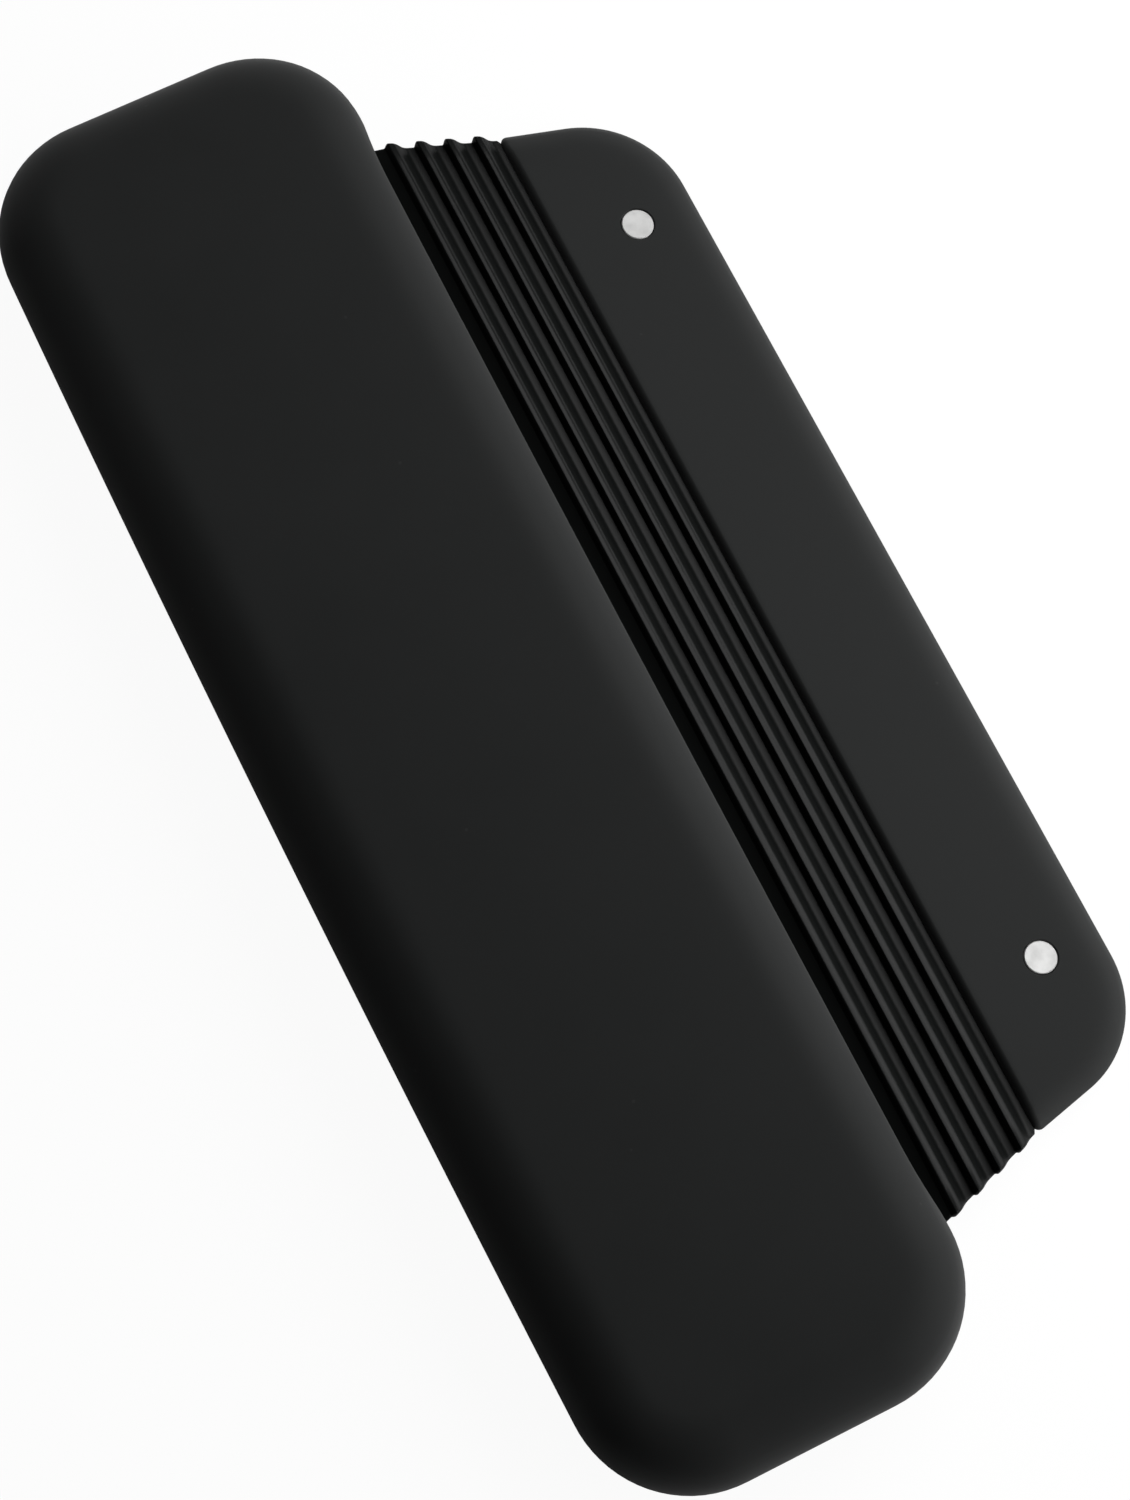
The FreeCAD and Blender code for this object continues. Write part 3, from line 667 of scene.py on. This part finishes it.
def buildRibSheet():
    # a flat grid is rolled round the strip's section, top side out and underside back
    tree = bpy.data.node_groups.new("ribSheet", "GeometryNodeTree")
    tree.is_modifier = True
    face = tree.interface
    face.new_socket(name="Geometry", in_out="OUTPUT", socket_type="NodeSocketGeometry")
    for name in ("From", "To", *stripSizes):
        face.new_socket(name=name, in_out="INPUT", socket_type="NodeSocketFloat")
    for name in stripSteps:
        face.new_socket(name=name, in_out="INPUT", socket_type="NodeSocketInt")
    face.new_socket(name="Finish", in_out="INPUT", socket_type="NodeSocketMaterial")
    given = addNode(tree, "NodeGroupInput").outputs
    made = addNode(tree, "NodeGroupOutput")

    def m(operation, *values, clamp=False):
        return calc(tree, operation, *values, clamp=clamp)

    across = given["Steps Across"]
    doubled = m("MULTIPLY", across, 2.0)
    grid = addNode(tree, "GeometryNodeMeshGrid")
    grid.inputs["Size X"].default_value = 1.0
    grid.inputs["Size Y"].default_value = 1.0
    tree.links.new(m("ADD", doubled, 1.0), grid.inputs["Vertices X"])
    tree.links.new(given["Steps Along"], grid.inputs["Vertices Y"])
    spot = addNode(tree, "ShaderNodeSeparateXYZ")
    tree.links.new(addNode(tree, "GeometryNodeInputPosition").outputs[0], spot.inputs[0])

    # place round the section
    count = m("MULTIPLY", m("ADD", spot.outputs["X"], 0.5), doubled)
    backCount = m("SUBTRACT", m("SUBTRACT", doubled, 1.0), count)
    share = m("DIVIDE", m("MINIMUM", count, backCount), m("SUBTRACT", across, 1.0), clamp=True)
    onTop = m("MAXIMUM", m("LESS_THAN", count, m("SUBTRACT", across, 0.5)),
              m("GREATER_THAN", count, m("SUBTRACT", doubled, 0.5)))
    u = m("ADD", given["From"], m("MULTIPLY", share, m("SUBTRACT", given["To"], given["From"])))

    # ribs: a rounded crest at every pitch
    phase = m("DIVIDE", m("SUBTRACT", u, given["First Crest"]), given["Rib Pitch"])
    valley = m("DIVIDE", given["Near Flank"], given["Rib Pitch"])
    nearest = m("MINIMUM", m("MAXIMUM", m("FLOOR", m("ADD", phase, valley)), 0.0), given["Last Rib"])
    isFar = m("GREATER_THAN", phase, nearest)
    isRoot = m("LESS_THAN", phase, 0.0)
    beyond = m("MAXIMUM", m("SUBTRACT", u, given["Tail From"]), 0.0)
    aside = m("MULTIPLY", m("ABSOLUTE", m("SUBTRACT", phase, nearest)), given["Rib Pitch"])
    farMore = m("SUBTRACT", given["Far Flank"], given["Near Flank"])
    rootMore = m("SUBTRACT", given["Root Flank"], given["Near Flank"])
    run = m("ADD", given["Near Flank"], m("MULTIPLY", isFar, farMore))
    run = m("ADD", run, m("MULTIPLY", isRoot, rootMore))
    t = m("DIVIDE", aside, run, clamp=True)
    wave = m("ADD", 0.5, m("MULTIPLY", 0.5, m("COSINE", m("MULTIPLY", t, math.pi))))
    steep = m("MULTIPLY", m("MULTIPLY", wave, wave), m("SUBTRACT", 3.0, m("MULTIPLY", wave, 2.0)))
    crest = m("ADD", wave, m("MULTIPLY", given["Rib Steepness"], m("SUBTRACT", steep, wave)))
    inward = m("MINIMUM", u, 0.0)
    level = m("MULTIPLY", inward, m("TANGENT", given["Droop"]))  # the root runs level into the wall
    rise = m("DIVIDE", m("SUBTRACT", given["Sill From"], u), given["Sill Run"], clamp=True)
    rise = m("MULTIPLY", m("MULTIPLY", rise, rise), given["Sill Rise"])  # up to the sill
    foot = m("SUBTRACT", given["First Crest"], given["Root Flank"])
    slope = m("SUBTRACT", m("MINIMUM", m("MAXIMUM", u, given["Slope From"]), foot), given["Slope Level"])
    slope = m("MULTIPLY", slope, given["Root Slope"])
    rise = m("ADD", rise, m("MULTIPLY", m("MULTIPLY", slope, isRoot), m("SUBTRACT", 1.0, crest)))
    web = m("ADD", m("ADD", given["Web Top"], rise), level)
    topV = m("ADD", web, m("MULTIPLY", given["Rib Height"], crest))
    flare = m("DIVIDE", m("SUBTRACT", given["Fillet From"], u), given["Fillet Run"], clamp=True)
    fillet = m("MULTIPLY", given["Root Fillet"], m("MULTIPLY", flare, flare))
    lowV = m("SUBTRACT", m("ADD", level, given["Underside"]), fillet)
    lowV = m("ADD", lowV, m("MULTIPLY", beyond, given["Tail Lift"]))
    midV = m("MULTIPLY", m("ADD", topV, lowV), 0.5)
    halfV = m("MULTIPLY", m("SUBTRACT", topV, lowV), 0.5)

    # place along the strip, with rounded ends that follow the ribs
    signed = m("MULTIPLY", spot.outputs["Y"], 2.0)
    along = m("ABSOLUTE", signed)
    flatShare, roundShare = 0.8, 0.2  # of the grid's rows, the last ones go round the end
    straight = m("DIVIDE", along, flatShare, clamp=True)
    roundTurn = m("DIVIDE", m("SUBTRACT", along, flatShare), roundShare, clamp=True)
    roundTurn = m("MULTIPLY", roundTurn, math.pi / 2)
    reach = m("SUBTRACT", given["Root Half Length"], m("MULTIPLY", given["End Taper"], m("MAXIMUM", u, 0.0)))
    scallop = m("MULTIPLY", given["End Bump"], crest)
    reach = m("ADD", reach, m("SUBTRACT", scallop, m("MULTIPLY", beyond, given["Tail Draw"])))
    length = m("ADD", m("MULTIPLY", straight, m("SUBTRACT", reach, given["End Radius"])),
               m("MULTIPLY", given["End Radius"], m("SINE", roundTurn)))
    y = m("MULTIPLY", length, m("SIGN", signed))
    side = m("SUBTRACT", m("MULTIPLY", onTop, 2.0), 1.0)
    v = m("ADD", midV, m("MULTIPLY", m("MULTIPLY", halfV, side), m("COSINE", roundTurn)))

    # into the case's frame
    cosine, sine = m("COSINE", given["Droop"]), m("SINE", given["Droop"])
    x = m("ADD", given["Root X"], m("ADD", m("MULTIPLY", u, cosine), m("MULTIPLY", v, sine)))
    z = m("ADD", given["Root Z"], m("SUBTRACT", m("MULTIPLY", v, cosine), m("MULTIPLY", u, sine)))
    joined = addNode(tree, "ShaderNodeCombineXYZ")
    for name, value in (("X", x), ("Y", y), ("Z", z)):
        tree.links.new(m("MULTIPLY", value, mm), joined.inputs[name])
    # painted highlight on the rib crests' tops, stored as the mask for the lighter tone
    paintedRimLight = addNode(tree, "GeometryNodeStoreNamedAttribute", data_type="FLOAT", domain="POINT")
    paintedRimLight.inputs["Name"].default_value = "paintedRimLight"
    tree.links.new(grid.outputs["Mesh"], paintedRimLight.inputs["Geometry"])
    tree.links.new(m("MULTIPLY", m("POWER", crest, 3.0), onTop), paintedRimLight.inputs["Value"])
    shape = addNode(tree, "GeometryNodeSetPosition")
    tree.links.new(paintedRimLight.outputs["Geometry"], shape.inputs["Geometry"])
    tree.links.new(joined.outputs[0], shape.inputs["Position"])
    closed = addNode(tree, "GeometryNodeMergeByDistance")
    closed.inputs["Distance"].default_value = 1e-6
    tree.links.new(shape.outputs["Geometry"], closed.inputs["Geometry"])
    whole = addNode(tree, "GeometryNodeRealizeInstances")
    tree.links.new(closed.outputs["Geometry"], whole.inputs["Geometry"])
    finish = addNode(tree, "GeometryNodeSetMaterial")
    tree.links.new(whole.outputs["Geometry"], finish.inputs["Geometry"])
    tree.links.new(given["Finish"], finish.inputs["Material"])
    tree.links.new(finish.outputs["Geometry"], made.inputs["Geometry"])
    return tree


ribSheet = buildRibSheet()
sheetInputs = {item.name: item.identifier for item in ribSheet.interface.items_tree if item.in_out == "INPUT"}


def stripPoint(u, y, v):
    # a place on the drooping flap, in millimetres: along it, across it, and up from its middle
    droop = stripSizes["Droop"]
    x = stripSizes["Root X"] + u * math.cos(droop) + v * math.sin(droop)
    z = stripSizes["Root Z"] - u * math.sin(droop) + v * math.cos(droop)
    return x, y, z


def makeStripPiece(name, start, stop):
    piece = bpy.data.objects.new(name, bpy.data.meshes.new(name))
    scene.collection.objects.link(piece)
    modifier = piece.modifiers.new("ribSheet", "NODES")
    modifier.node_group = ribSheet
    inputs = {"From": start, "To": stop, **stripSizes, **stripSteps, "Finish": shadedStripSilicone}
    for key, value in inputs.items():
        modifier[sheetInputs[key]] = value
    graph = bpy.context.evaluated_depsgraph_get()
    mesh = bpy.data.meshes.new_from_object(piece.evaluated_get(graph), depsgraph=graph)
    piece.modifiers.clear()
    piece.data = mesh
    mesh.name = name
    if signedVolume(mesh) < 0:
        mesh.flip_normals()
    smoothPiece(mesh, 50)
    return piece


def signedVolume(mesh):
    shape = bmesh.new()
    shape.from_mesh(mesh)
    volume = shape.calc_volume(signed=True)
    shape.free()
    return volume


# each piece runs from crest to crest, across the fold between them
# name, its two bodies, where it starts and stops, and where its bend does
stripPieces = [
    ("foldRoot", "pocket", "rib_1", -1.9, 3.35, -0.6, 1.5),
    ("foldOne", "rib_1", "rib_2", 3.35, 8.16, 5.05, 7.26),
    ("foldTwo", "rib_2", "rib_3", 8.16, 12.97, 9.86, 12.07),
    ("foldThree", "rib_3", "rib_4", 12.97, 17.78, 14.67, 16.88),
    ("foldPanel", "rib_4", "flap", 17.78, 23.7, 19.5, 21.7),
]
for name, first, second, start, stop, bendFrom, bendTo in stripPieces:
    piece = makeStripPiece(name, start, stop)
    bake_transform(piece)
    if second != "flap":
        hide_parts(second)
print("fold strip made in", len(stripPieces), "pieces")


# flap panel, with two round recesses for the magnets

flapSizes = {
    "near": 21.7,
    "width": 25.9,
    "innerHalf": 97.0,
    "sideInset": 6.1,
    "cornerRadius": 18.4,
    "nearCorner": 1.1,
    "face": 2.0,
    "under": -0.6,
    "equator": 0.1,
    "edgeRound": 1.3,
    "nearRound": 1.0,
    "nearUnderRound": 0.15,
    "stepFrom": 0.3,        # past the step its rounding turns into the edges' own
    "stepRun": 2.2,
    "fall": 1.4,            # how far the face drops towards its free edges
    "underFall": 0.1,
    "fallReach": 6.2,
    "fallPower": 2.3,
    # how far in, and how sharply, the painted rim highlight reaches from the free edges
    "rimLightReach": 4.6,
    "rimLightPower": 1.5,
    "fillSpacing": 1.3,
    "magnetU": 36.0,
    "magnetY": 72.0,
    "recessRadius": 3.03,
    "recessRim": 0.07,
    "recessDepth": 1.5,
}


def makeFlapPanel(s):
    near, far = s["near"], s["near"] + s["width"]
    inner, outer = s["innerHalf"], s["innerHalf"] - s["sideInset"]
    corners = [(near, -inner), (far, -outer), (far, outer), (near, inner)]
    radii = [s["nearCorner"], s["cornerRadius"], s["cornerRadius"], s["nearCorner"]]
    sideSteps, arcSteps = [6, 60, 6, 72], [6, 22, 22, 6]
    plan, normals = roundedLoop(corners, radii, sideSteps, arcSteps)
    count = len(plan)
    parts = MeshParts()

    # its free edges, run on past the step
    back = near - s["width"]
    long = inner + s["sideInset"]
    freeCorners = [(back, -long), (far, -outer), (far, outer), (back, long)]
    freePlan, _ = roundedLoop(freeCorners, radii, sideSteps, arcSteps)

    def edgeShare(points, reach, power):
        # 1 at the free edges, 0 inside and along the step
        return np.clip(1 - loopDistance(points, freePlan) / reach, 0, 1) ** power

    def drop(points, sign):
        fall = s["fall"] if sign > 0 else s["underFall"]
        return sign * fall * edgeShare(points, s["fallReach"], s["fallPower"])

    soft = np.clip((plan[:, 0] - near - s["stepFrom"]) / s["stepRun"], 0, 1)

    def skin(height, sign):
        step = s["nearRound"] if sign > 0 else s["nearUnderRound"]
        rounding = step + (s["edgeRound"] - step) * soft * soft * (3 - 2 * soft)
        rows = []
        for angle in (0, 10, 20, 30, 40, 50, 60, 70, 80, 90):
            a = math.radians(angle)
            level = plan - normals * rounding[:, None] * (1 - math.cos(a))
            v = s["equator"] + (height - s["equator"] - drop(level, sign)) * math.sin(a)
            rows.append(np.column_stack((level, v)))
        return rows

    topRows = skin(s["face"], 1)
    lowRows = skin(s["under"], -1)
    topIds = [parts.add(row) for row in topRows]
    lowIds = [topIds[0]] + [parts.add(row) for row in lowRows[1:]]
    for k in range(len(topIds) - 1):
        parts.bridge(topIds[k], topIds[k + 1], flip=True)
        parts.bridge(lowIds[k], lowIds[k + 1])
    rimOuter = s["recessRadius"] + s["recessRim"]
    holes = [(s["magnetU"], side * s["magnetY"], rimOuter) for side in (1, -1)]
    middles = [(topIds[-1], s["face"], 1, False, holes), (lowIds[-1], s["under"], -1, True, ())]
    for ids, height, sign, flip, cut in middles:
        loop = np.array(parts.points)[ids][:, :2]
        points, triangles, rings = fillLoop(loop, s["fillSpacing"], cut)
        extra = points[count:]
        added = parts.add(np.column_stack((extra, height - drop(extra, sign))))
        every = np.concatenate((ids, added))
        parts.patch(every, triangles, flip)
        for ring, (cx, cy, _) in zip(rings, cut):
            last = every[ring]
            base = np.array(parts.points)[last]
            away = (base[:, :2] - (cx, cy)) / rimOuter
            steps = []
            for a in np.radians((22.5, 45, 67.5, 90)):
                steps.append((s["recessRadius"] + s["recessRim"] * (1 - math.sin(a)),
                              s["recessRim"] * (1 - math.cos(a))))
            steps.append((s["recessRadius"], s["recessDepth"]))
            for radius, depth in steps:
                ringIds = parts.add(np.column_stack(((cx, cy) + away * radius, base[:, 2] - depth)))
                parts.bridge(last, ringIds)
                last = ringIds
            parts.fan(last, parts.add([(cx, cy, base[0, 2] - s["recessDepth"])])[0])
    local = np.array(parts.points)
    # painted highlight along the panel's free edges, on its top side only
    paintedRimLight = edgeShare(local[:, :2], s["rimLightReach"], s["rimLightPower"]) * (local[:, 2] > s["equator"])
    parts.points = [stripPoint(*p) for p in local]
    return makePiece("flapPanel", parts, paintedRimLight, blackSilicone)


flapPanel = makeFlapPanel(flapSizes)
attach(flapPanel, "flap")
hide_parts("flap_panel")
print("flap panel made,", len(flapPanel.data.polygons), "faces")


# the four magnets are the solids themselves, in bare nickel

for name in ("flap_magnet_top", "flap_magnet_bottom", "wall_magnet_top", "wall_magnet_bottom"):
    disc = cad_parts[name]
    disc.data.materials.clear()
    disc.data.materials.append(nickelPlate)


# floor and light

stageLook = {
    "floorSize": 8.0,
    "floorLevel": -0.3,
    "floorBounce": (0.55, 0.55, 0.55, 1.0),
    "floorWhite": 0.86,
    "floorGlow": 1.1,
    "skyBright": 0.06,
    "skyDark": 0.02,
    "skyFrom": (1.0, 0.0, 0.2),
    "skyFade": 0.6,
}

# name, place, what it points at, width and height in metres, and power
softboxes = [
    ("lowSoftbox", (0.29, -0.02, 0.035), (0.03, 0.0, 0.01), 0.6, 0.07, 0.21),
    ("sideSoftbox", (0.268, -0.134, 0.15), (0.03, 0.0, 0.01), 0.6, 0.14, 0.71),
    ("headSoftbox", (0.05, 0.5, 0.16), (0.0, 0.12, 0.01), 0.5, 0.3, 0.23),
    ("keySoftbox", (0.26, 0.08, 0.31), (0.03, 0.0, 0.01), 0.34, 0.22, 0.79),
]


def makeFloor(look):
    size = look["floorSize"] / 2
    mesh = bpy.data.meshes.new("paleFloor")
    level = look["floorLevel"] * mm
    corners = [(-size, -size, level), (size, -size, level), (size, size, level), (-size, size, level)]
    mesh.from_pydata(corners, [], [(0, 1, 2, 3)])
    material = bpy.data.materials.new("paleFloor")
    material.use_nodes = True
    tree = material.node_tree
    tree.nodes.remove(tree.nodes["Principled BSDF"])
    matte = addNode(tree, "ShaderNodeBsdfDiffuse")
    matte.inputs["Color"].default_value = look["floorBounce"]
    white = addNode(tree, "ShaderNodeEmission")
    white.inputs["Strength"].default_value = look["floorGlow"]
    mix = addNode(tree, "ShaderNodeMixShader")
    rays = addNode(tree, "ShaderNodeLightPath")
    seen = calc(tree, "MULTIPLY", rays.outputs["Is Camera Ray"], look["floorWhite"])  # white to the camera only
    tree.links.new(seen, mix.inputs["Fac"])
    tree.links.new(matte.outputs[0], mix.inputs[1])
    tree.links.new(white.outputs[0], mix.inputs[2])
    tree.links.new(mix.outputs[0], tree.nodes["Material Output"].inputs["Surface"])
    mesh.materials.append(material)
    floor = bpy.data.objects.new("paleFloor", mesh)
    scene.collection.objects.link(floor)


def makeSky(look):
    world = bpy.data.worlds.new("softSky")
    scene.world = world
    world.use_nodes = True
    tree = world.node_tree
    sky = tree.nodes["Background"]
    place = addNode(tree, "ShaderNodeTexCoord")
    lean = addNode(tree, "ShaderNodeVectorMath", operation="DOT_PRODUCT")
    tree.links.new(place.outputs["Generated"], lean.inputs[0])
    lean.inputs[1].default_value = Vector(look["skyFrom"]).normalized()
    fade = look["skyFade"]
    soft = rampTo(tree, lean.outputs["Value"], -fade, fade, look["skyDark"], look["skyBright"], smooth=True)
    rays = addNode(tree, "ShaderNodeLightPath")
    strength = calc(tree, "MAXIMUM", soft, rays.outputs["Is Camera Ray"])
    tree.links.new(strength, sky.inputs["Strength"])
    sky.inputs["Color"].default_value = (1.0, 1.0, 1.0, 1.0)


def addSoftbox(name, place, target, width, height, power):
    data = bpy.data.lights.new(name, "AREA")
    data.shape = "RECTANGLE"
    data.size = width
    data.size_y = height
    data.energy = power
    lamp = bpy.data.objects.new(name, data)
    lamp.location = place
    lamp.rotation_euler = (Vector(target) - Vector(place)).to_track_quat("-Z", "Y").to_euler()
    scene.collection.objects.link(lamp)


makeFloor(stageLook)
makeSky(stageLook)
for softbox in softboxes:
    addSoftbox(*softbox)
print("stage lit with", len(softboxes), "softboxes")
